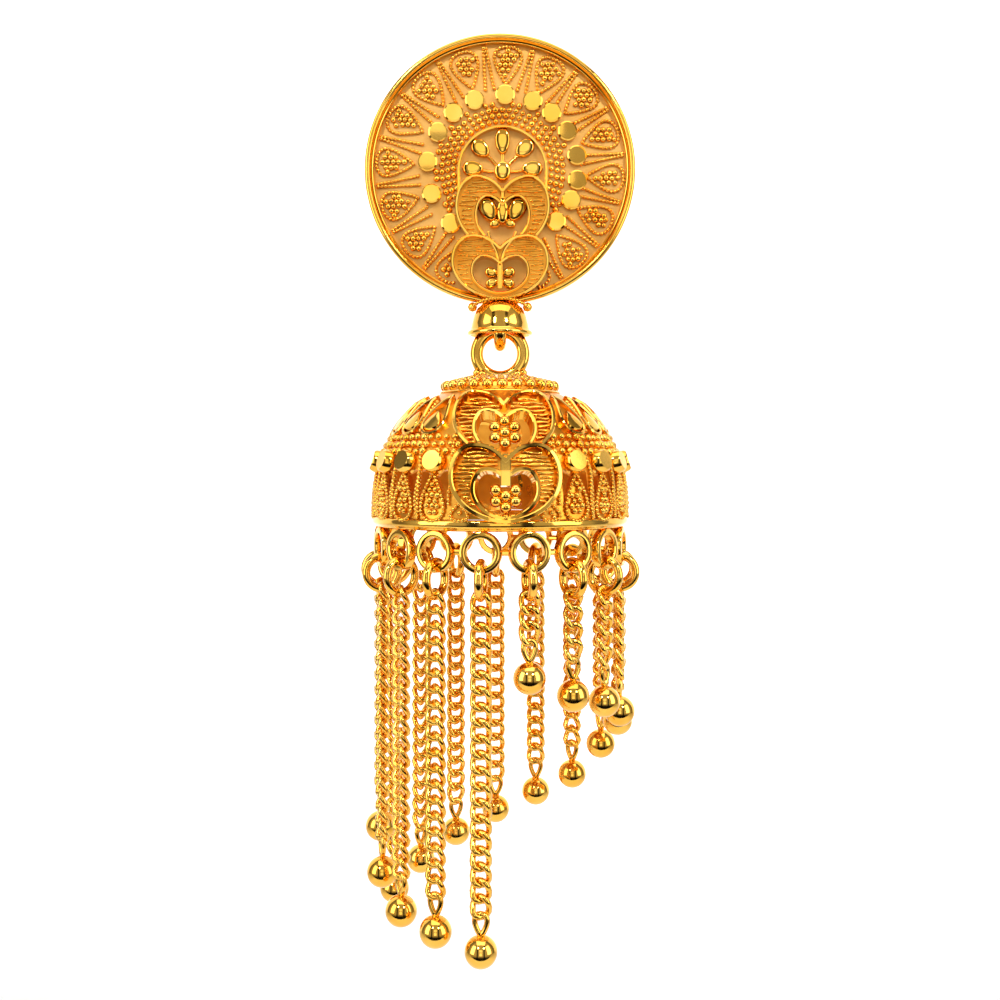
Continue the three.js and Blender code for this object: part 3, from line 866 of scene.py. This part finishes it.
def makeBellRelief():
    pieces = [makeShell()]
    top = Build()
    lathe(top, [(0.02, -20.6), (2.1, -20.6), (2.5, -20.7), (3.4, -20.95), (4.3, -21.2), (4.9, -21.5), (5.1, -21.95), (5.75, -22.15),
                (5.98, -22.22), (6.05, -22.34), (5.98, -22.5), (5.8, -22.6), (5.0, -22.3), (3.0, -21.9), (0.02, -21.8)],
          120, aboutZ())
    pieces.append(cleaned(makeObject("bellTop", top.verts, top.faces), "polished", 0.8))
    rim = Build()
    lathe(rim, [(12.2, -34.45), (12.5, -34.45), (12.66, -34.52), (12.72, -34.66), (12.72, -35.0), (12.66, -35.16), (12.5, -35.24),
                (12.42, -35.4), (12.3, -35.5), (11.95, -35.5), (11.85, -34.9), (11.95, -34.45)], 160, aboutZ())
    pieces.append(cleaned(makeObject("bellRim", rim.verts, rim.faces), "polished", 0.9))

    bands, hatch, ropes, grains, beads, studs = Build(), [], [], [], [], []
    blossoms = []
    for turn in (0, math.pi):
        put, out = panelPut(turn)
        belowTop = lambda x, z: z < -22.55
        notLower = lambda x, z: not inside(bellLower, x, z) or edgeGap(bellLower, x, z) < 0.1
        bandRuns(bands, split(bellUpper, notLower), 0.4, -0.1, 0.75, put, out)
        bandRuns(bands, [(bellLower, True)], 0.46, -0.1, 0.85, put, out)
        bandRuns(bands, split(bellUpperInner, notLower), 0.36, -0.52, 0.7, put, out)
        bandRuns(bands, [(bellLowerInner, True)], 0.42, -0.52, 0.8, put, out)
        stem = [(0, -29.2 - 0.22 * k) for k in range(11)]
        bandRuns(bands, [(stem, False)], 0.95, -0.3, 0.82, put, out)
        lines = hatchLines(bellUpper, bellUpperInner, lambda x, z: not notLower(x, z) or abs(x) < 0.4 and z > -24.8, 0.36, 0.2)
        lines += hatchLines(bellLower, bellLowerInner, lambda x, z: abs(x) < 0.5 and z > -30.6, 0.36, 0.2)
        hatch += pathsOf(lines, 0.16, put, out)
        for cx, cz, six in ((0, -26.7, True), (0, -32.25, False)):
            spots = [(cx, cz)] + [(cx + 1.0 * math.sin(math.radians(t)), cz + 1.0 * math.cos(math.radians(t)))
                                  for t in range(0, 360, 60) if six or t]
            for x, z in spots:
                blossoms.append((put(x, z, 0.4), out(x, z), (0, 0, 1), 1.14))
        blossoms.append((put(0, -34.25, 0.35), out(0, -34.25), (0, 0, 1), 0.95))
        for side in (-1, 1):
            small = [(side * 4.15 + x * 0.62, -33.75 + z * 0.42) for x, z in dropOutline(2.6, 3.6)]
            keep = lambda x, z: not inside(bellLower, x, z) and z > -34.6
            ropes += pathsOf(split(small, keep), 0.15, put, out)
            for x, z in filled(small, 0.55, 0.25):
                if keep(x, z) and edgeGap(bellLower, x, z) > 0.3:
                    grains.append((put(x, z, 0.12), out(x, z), (0, 0, 1), 0.5))
    for a in sideAngles:
        put, out = sidePut(bellTurn + a)
        studs.append((put(0, bell["studZ"], -0.05), out(0, bell["studZ"]), (0, 0, 1), 1.17))
        outline = [(x, z + bell["dropZ"]) for x, z in bellDrop]
        ropes += pathsOf([(outline, True)], 0.16, put, out)
        for x, z in filled(outline, 0.58, 0.38):
            grains.append((put(x, z, 0.1), out(x, z), (0, 0, 1), 0.62 * random.uniform(0.88, 1.1)))
    half = math.radians(bell["step"] / 2)
    for k in range(bell["sideCount"] + 1):
        for s in (-1, 1):
            put, out = sidePut(bellTurn + s * (math.radians(bell["studAngle"] + bell["step"] * k) - half))
            path = [(0.12 * math.sin(z * 1.4), z) for z in [-26.9 - 0.32 * q for q in range(24)]]
            if k in (0, bell["sideCount"]):
                path = [p for p in path if p[1] > -33.2]
            ropes += pathsOf([(path, False)], 0.14, put, out)
            if 0 < k < bell["sideCount"]:
                twig = [(0.16, z) for z in [-29.6 - 0.3 * q for q in range(16)]]
                ropes += pathsOf([(twig, False)], 0.1, put, out)
    wanted = lambda x, z: not any(inside(o, x, z) or edgeGap(o, x, z) < 0.35 for o in (bellUpper, bellLower))
    for row in range(3):
        z = bell["bandTop"] - 0.66 * row
        r = bellRadius(z)
        n = int(2 * math.pi * r / 0.84)
        for k in range(n):
            a = 2 * math.pi * (k + 0.5 * (row % 2)) / n
            facing = math.remainder(a - bellTurn, math.pi)
            if wanted(r * math.sin(facing), z) or abs(facing) > 1:
                grains.append((bellAt(a, z + random.uniform(-0.06, 0.06), 0.12), bellOut(a, z), (0, 0, 1), bell["bandGrain"] * random.uniform(0.85, 1.12)))
    leaves = Build()
    for a in petalAngles:
        put, out = sidePut(bellTurn + a)
        lean = 0.16 * (1 if math.sin(a) > 0 else -1)
        outline = [(x - lean * (z + 1.9) * 0.5, z - 24.95) for x, z in dropOutline(2.35, 3.5, 24)]
        bandRuns(leaves, [(outline, True)], 0.3, -0.1, 0.5, put, out)
        mound(leaves, [(x * 0.78 + lean * 0.2, (z + 24.95) * 0.5 - 25.5) for x, z in outline],
              [(1.0, -0.1), (1.0, 0.35), (0.9, 0.5), (0.5, 0.56), (0.2, 0.57)], put)
        ropes += pathsOf([([(1.3 * (1 if a > 0 else -1) * 0.98, z) for z in [-23.6 - 0.3 * q for q in range(10)]], False)], 0.12, put, out)
    pieces.append(cleaned(makeObject("bellLeaves", leaves.verts, leaves.faces), "polished", 0.6))
    pieces.append(cleaned(makeObject("bellHeartBands", bands.verts, bands.faces), "polished", 0.5))
    for k in range(24):
        a = bellTurn + 2 * math.pi * k / 24
        beads.append(((5.42 * math.sin(a), dropY - 5.42 * math.cos(a), -21.7), (0, 0, 1), (1, 0, 0), 1.12))
    for orbit, n in ((2.9, 22), (3.5, 28), (4.1, 32), (4.6, 36)):
        for k in range(n):
            a = 2 * math.pi * (k + random.random() * 0.3) / n
            z = -20.75 - (orbit - 2.5) * 0.24
            grains.append(((orbit * math.sin(a), dropY - orbit * math.cos(a), z), (0, 0, 1), (1, 0, 0), 0.6))
    studPart = hide(turnedPart("bellStudPart", [(1.0, -0.1), (1.02, 0.12), (0.98, 0.3), (0.9, 0.72), (0.78, 0.88), (0.4, 0.88)], 28))
    bigBead = hide(ball("bigBeadPart", 0.5, 14, 9))
    pieces += [place("bellStuds", studPart, studs, "polished"), place("bellBeads", bigBead, beads, "polished"),
               place("bellBlossoms", bigBead, blossoms, "polished"), place("bellGranules", granule, grains, "relief"),
               rope("bellRopes", ropes, "relief", 0.37), wires("bellHatch", hatch, "relief", 0.16)]
    return pieces


topRing = {"centre": -18.4, "mean": 2.33, "wire": 0.66, "groove": 0.16}


def makeTopRing():
    b = Build()
    rows = []
    for i in range(64):
        a = 2 * math.pi * i / 64
        row = []
        for k in range(20):
            t = 2 * math.pi * k / 20
            w = topRing["wire"] * (1 - topRing["groove"] * math.exp(-(math.remainder(t - math.pi / 2, 2 * math.pi) / 0.28) ** 2)
                                   - topRing["groove"] * math.exp(-(math.remainder(t + math.pi / 2, 2 * math.pi) / 0.28) ** 2))
            r = topRing["mean"] + w * math.cos(t)
            row.append((r * math.sin(a), dropY + w * math.sin(t), topRing["centre"] + r * math.cos(a)))
        rows.append(row)
    b.grid(rows, closeRow=True, closeCol=True)
    ring = cleaned(makeObject("bellRing", b.verts, b.faces), "polished", 1.2)
    beads = [((x * s, dropY + y, z), (0, 0, 1), (1, 0, 0), 0.85) for s in (-1, 1)
             for x, y, z in ((2.3, -0.5, -20.35), (1.75, -0.75, -20.45), (2.3, 0.5, -20.35), (1.75, 0.75, -20.45))]
    return [ring, place("ringBeads", granule, beads, "polished")]


rimLoop = {"count": 17, "orbit": 12.0, "z": -37.4, "outer": 1.95, "inner": 1.3, "depth": 0.9, "bridge": 0.28}


def fringeAngle(i):
    return bellTurn + 2 * math.pi / rimLoop["count"] * (i + 0.5)


def makeRimLoops():
    b = Build()
    o, n, d = rimLoop["outer"], rimLoop["inner"], rimLoop["depth"] / 2
    profile = [(o, -d + 0.12), (o, d - 0.2), (o - 0.06, d - 0.06), (o - 0.2, d), (n + 0.16, d), (n + 0.04, d - 0.08), (n, d - 0.2),
               (n, -d + 0.1), (n + 0.1, -d), (o - 0.12, -d)]
    rows = [[(r * math.cos(t), r * math.sin(t), h) for r, h in profile] for t in (2 * math.pi * k / 28 for k in range(28))]
    b.grid(rows, closeRow=True, closeCol=True)
    part = hide(cleaned(makeObject("rimLoopPart", b.verts, b.faces), "polished", 0.6))
    bar = hide(turnedPart("bridgePart", [(0.3, -0.45), (0.3, 0.45)], 10))
    spots, bars = [], []
    for i in range(rimLoop["count"]):
        a = fringeAngle(i)
        out = (math.sin(a), -math.cos(a), 0)
        spots.append(((rimLoop["orbit"] * out[0], dropY + rimLoop["orbit"] * out[1], rimLoop["z"]), out, (0, 0, 1), 1.0))
        a = fringeAngle(i + 0.5)
        r = rimLoop["orbit"] * math.cos(math.pi / rimLoop["count"])
        bars.append(((r * math.sin(a), dropY - r * math.cos(a), rimLoop["z"]), (math.cos(a), math.sin(a), 0), (0, 0, 1), 1.0))
    return [place("rimLoops", part, spots, "polished"), place("rimBridges", bar, bars, "polished")]


for piece in makeBellRelief() + makeTopRing() + makeRimLoops():
    ride(piece, "drop", "bell_gold", "bell")
print("stage: bell made")


fringe = {"orbit": 12.0, "ringZ": -39.9, "ringMean": 1.58, "ringWire": 0.41, "linkPitch": 1.46, "linkWire": 0.3,
          "linkHalf": 0.8, "linkLong": 0.98, "linkTwist": 0.34, "firstLink": -41.95, "ball": 1.5, "pear": 2.4}


def makeFringe():
    count = rimLoop["count"]
    ring = Build()
    rows = [[((fringe["ringMean"] + fringe["ringWire"] * math.cos(t)) * math.cos(a), (fringe["ringMean"] + fringe["ringWire"] * math.cos(t)) * math.sin(a),
              fringe["ringWire"] * math.sin(t)) for t in (2 * math.pi * k / 12 for k in range(12))] for a in (2 * math.pi * k / 36 for k in range(36))]
    ring.grid(rows, closeRow=True, closeCol=True)
    ringPart = hide(cleaned(makeObject("jumpRingPart", ring.verts, ring.faces), "polished", 3))

    link = Build()  # curb link: Z out of the dome, X down the chain
    path = []
    for k in range(14):
        t = 2 * math.pi * k / 14
        path.append((fringe["linkLong"] * math.sin(t), fringe["linkHalf"] * math.cos(t) * (1 - 0.06 * math.cos(2 * t)), -fringe["linkTwist"] * math.sin(2 * t)))
    sweep(link, path, [(0, 0, 1)] * 14, roundSection(fringe["linkWire"], 6), True)
    linkPart = hide(cleaned(makeObject("curbLinkPart", link.verts, link.faces), "polished", 3))

    pear = Build()
    path = []
    for k in range(20):
        t = 2 * math.pi * k / 20
        narrow = 0.62 * (0.78 + 0.34 * math.cos(t)) / 0.9
        path.append((0.95 * math.cos(t), narrow * math.sin(t), 0))
    sweep(pear, path, [(0, 0, 1)] * 20, roundSection(0.27, 8), True)
    pearPart = hide(cleaned(makeObject("pearLoopPart", pear.verts, pear.faces), "polished", 3))
    ballPart = hide(ball("endBallPart", fringe["ball"], 36, 22))

    rings, links, pears, balls, names = [], [], [], [], []
    for i in range(count):
        low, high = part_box(f"end_bead_{i + 1:02d}")
        ballZ = low.z / mm + fringe["ball"]
        a = fringeAngle(i)
        out, side = (math.sin(a), -math.cos(a), 0), (math.cos(a), math.sin(a), 0)
        x, y = fringe["orbit"] * out[0], dropY + fringe["orbit"] * out[1]
        rings.append(((x, y, fringe["ringZ"]), side, (0, 0, 1), 1.0))
        last = ballZ + fringe["ball"] + fringe["pear"] - 0.6 + fringe["linkLong"] - 0.2
        n = max(2, round((fringe["firstLink"] - last) / fringe["linkPitch"]) + 1)
        for k in range(n):
            z = fringe["firstLink"] + (last - fringe["firstLink"]) * k / (n - 1)
            links.append(((x, y, z), out, (0, 0, -1), 1.0))
        pears.append(((x, y, ballZ + fringe["ball"] + 1.0), out, (0, 0, 1), 1.0))
        balls.append(((x, y, ballZ), out, (0, 0, 1), 1.0))
    made = [(place("jumpRings", ringPart, rings, "polished"), "link_gold", "jump_ring"),
            (place("curbChains", linkPart, links, "polished"), "link_gold", "chain"),
            (place("pearLoops", pearPart, pears, "polished"), "ball_gold", "end_bead"),
            (place("endBalls", ballPart, balls, "polished"), "ball_gold", "end_bead")]
    for obj, slotName, node in made:
        ride(obj, "drop", slotName, *[f"{node}_{i + 1:02d}" for i in range(count)])


makeFringe()
print("stage: fringe made")


studio = {"floor": -0.25, "wall": 0.34, "glow": 0.78, "keyLight": 0.55, "topLight": 0.7, "glint": 0.3, "panel": 0.052,
          "front": 0.48, "around": 0.2, "below": 0.015, "flag": 0.4}


def makeStage():
    r, front, wide, b = 0.12, -0.2, 0.9, Build()
    line = [(front, studio["floor"])]
    line += [(studio["wall"] - r + r * math.sin(t), studio["floor"] + r - r * math.cos(t))
             for t in (math.pi / 2 * k / 10 for k in range(11))] + [(studio["wall"], 0.75)]
    b.grid([[(x / mm, y / mm, z / mm) for y, z in line] for x in (-wide, wide)])
    floor = makeObject("studioFloor", b.verts, b.faces)
    mat = bpy.data.materials.new("studioPaper")
    mat.use_nodes = True
    nodes, link = mat.node_tree.nodes, mat.node_tree.links.new
    paper = nodes["Principled BSDF"]
    paper.inputs["Base Color"].default_value = (0.86, 0.85, 0.84, 1)
    paper.inputs["Roughness"].default_value = 0.9
    paper.inputs["Emission Color"].default_value = (1, 1, 1, 1)
    where, split3, rise = nodes.new("ShaderNodeTexCoord"), nodes.new("ShaderNodeSeparateXYZ"), nodes.new("ShaderNodeMapRange")
    rise.inputs["From Min"].default_value, rise.inputs["From Max"].default_value = studio["floor"] + 0.01, studio["floor"] + 0.12
    rise.inputs["To Max"].default_value = studio["glow"]
    link(where.outputs["Object"], split3.inputs["Vector"])
    link(split3.outputs["Z"], rise.inputs["Value"])
    link(rise.outputs["Result"], paper.inputs["Emission Strength"])
    floor.data.materials.append(mat)


def addLight(name, spot, aim, size, power):
    data = bpy.data.lights.new(name, "AREA")
    data.shape, data.size, data.size_y, data.energy = "RECTANGLE", size[0], size[1], power
    obj = bpy.data.objects.new(name, data)
    obj.location = spot
    obj.rotation_euler = (Vector(aim) - Vector(spot)).to_track_quat("-Z", "Y").to_euler()
    bpy.context.scene.collection.objects.link(obj)


def makeWorld():  # light tent: bright in front, dark flags at each side, dark underneath
    world = bpy.data.worlds.new("studioWorld")
    bpy.context.scene.world = world
    world.use_nodes = True
    nodes, link = world.node_tree.nodes, world.node_tree.links.new
    where, axes = nodes.new("ShaderNodeTexCoord"), nodes.new("ShaderNodeSeparateXYZ")
    link(where.outputs["Generated"], axes.inputs["Vector"])

    def ramp(source, a, b, low, high):
        node = nodes.new("ShaderNodeMapRange")
        node.interpolation_type = "SMOOTHSTEP"
        for key, value in (("From Min", a), ("From Max", b), ("To Min", low), ("To Max", high)):
            node.inputs[key].default_value = value
        link(source, node.inputs["Value"])
        return node.outputs["Result"]

    def maths(kind, a, b=None):
        node = nodes.new("ShaderNodeMath")
        node.operation = kind
        link(a, node.inputs[0])
        if b is not None:
            link(b, node.inputs[1])
        return node.outputs[0]

    x, y, z = (axes.outputs[k] for k in "XYZ")
    tent = ramp(y, -0.12, 0.12, studio["front"], studio["around"])
    flagX = nodes.new("ShaderNodeMath")
    flagX.operation, flagX.inputs[1].default_value = "SUBTRACT", studio["flag"]
    link(maths("ABSOLUTE", x), flagX.inputs[0])
    open_ = ramp(maths("ABSOLUTE", flagX.outputs[0]), 0.06, 0.11, 0.08, 1.0)  # dark flags left and right
    lift = ramp(z, -0.44, -0.12, studio["below"], 1.0)
    link(maths("MULTIPLY", maths("MULTIPLY", tent, open_), lift), nodes["Background"].inputs["Strength"])
    nodes["Background"].inputs["Color"].default_value = (1, 0.99, 0.96, 1)


makeStage()
makeWorld()
middle = (0, 0, -0.033)
addLight("softboxLeft", (-0.30, -0.17, 0.06), middle, (0.18, 0.34), studio["keyLight"])
addLight("softboxRight", (0.30, -0.17, 0.06), middle, (0.18, 0.34), studio["keyLight"])
addLight("topPanel", (0, -0.04, 0.32), (0, 0, -0.03), (0.4, 0.3), studio["topLight"])
addLight("highPanel", (0, -0.4, 0.10), (0, 0, 0), (0.15, 0.12), studio["panel"])
addLight("lowPanel", (0, -0.4, -0.06), (0, 0, -0.05), (0.12, 0.13), studio["panel"])
for side, spot in (("Left", (-0.13, -0.30, 0.22)), ("Right", (0.15, -0.28, 0.19))):
    addLight("glint" + side, spot, middle, (0.045, 0.045), studio["glint"])

camera = bpy.data.cameras.new("camera")
camera.lens, camera.sensor_width = 45.4, 36
camera.clip_start = 0.005
cameraObj = bpy.data.objects.new("camera", camera)
cameraObj.location = (0, (dropY - 126) * mm, -0.029)
cameraObj.rotation_euler = (math.pi / 2, 0, 0)
camera.shift_y = -0.04
bpy.context.scene.collection.objects.link(cameraObj)
bpy.context.scene.camera = cameraObj
bpy.context.scene.view_settings.view_transform = "Standard"
